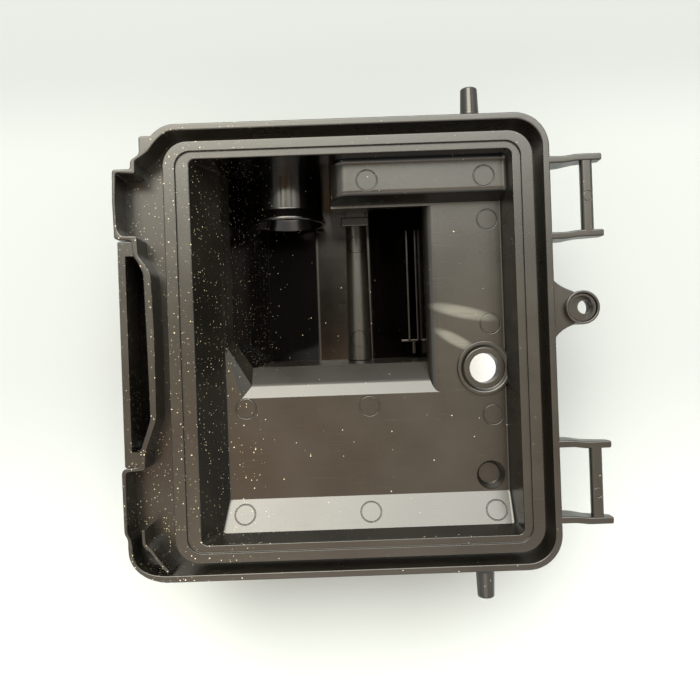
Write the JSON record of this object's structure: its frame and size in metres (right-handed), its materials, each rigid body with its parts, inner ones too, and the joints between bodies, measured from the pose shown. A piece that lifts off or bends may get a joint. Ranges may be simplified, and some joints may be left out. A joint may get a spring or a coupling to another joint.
{
  "type": "air filter housing",
  "caption": "Open black plastic air filter box with a stepped filter seat, deep outlet recess, hinge pockets, latch clevises, pivot pins and a fixing eye.",
  "frame": {"origin": "on the surface that the part stands on, under the middle of its bounding box", "axes": "+Z out of the open side, +X from the hinge pockets to the latch clevises, +Y along the rim towards the outlet flange"},
  "size_m": [0.1756, 0.1852, 0.0705],
  "materials": {
    "moulding": "satin black moulded plastic",
    "bush": "satin black moulded plastic",
    "seal": "matt black rubber"
  },
  "bodies": {
    "root": {"rim_wall": "moulding", "slot_side_wall": "moulding", "upper_hinge_pocket": "moulding", "lower_hinge_pocket": "moulding", "channel_floor": "moulding", "corner_rib": "moulding", "filter_seat_frame": "moulding", "tub_left_wall": "moulding", "tub_right_wall": "moulding", "tub_upper_wall": "moulding", "tub_lower_wall": "moulding", "sloped_end_panel": "moulding", "top_shelf": "moulding", "tub_floor": "moulding", "recess_left_wall": "moulding", "recess_right_wall": "moulding", "recess_ramp": "moulding", "recess_upper_wall": "moulding", "recess_floor": "moulding", "recess_ridge": "moulding", "ridge_end_cap": "moulding", "guide_rib_1": "moulding", "guide_rib_2": "moulding", "outlet_tube": "moulding", "outlet_flange": "moulding", "outlet_seal_ring": "seal", "floor_boss": "moulding", "floor_boss_bush": "bush", "blind_pocket": "moulding", "upper_clevis_upper_ear": "moulding", "upper_clevis_lower_ear": "moulding", "lower_clevis_upper_ear": "moulding", "lower_clevis_lower_ear": "moulding", "upper_latch_bar": "moulding", "lower_latch_bar": "moulding", "upper_pivot_pin": "moulding", "lower_pivot_pin": "moulding", "fixing_eye_lug": "moulding", "fixing_eye_bush": "bush", "intake_slot_frame": "moulding", "intake_duct": "moulding", "corner_pocket": "moulding"}
  },
  "joints": []
}
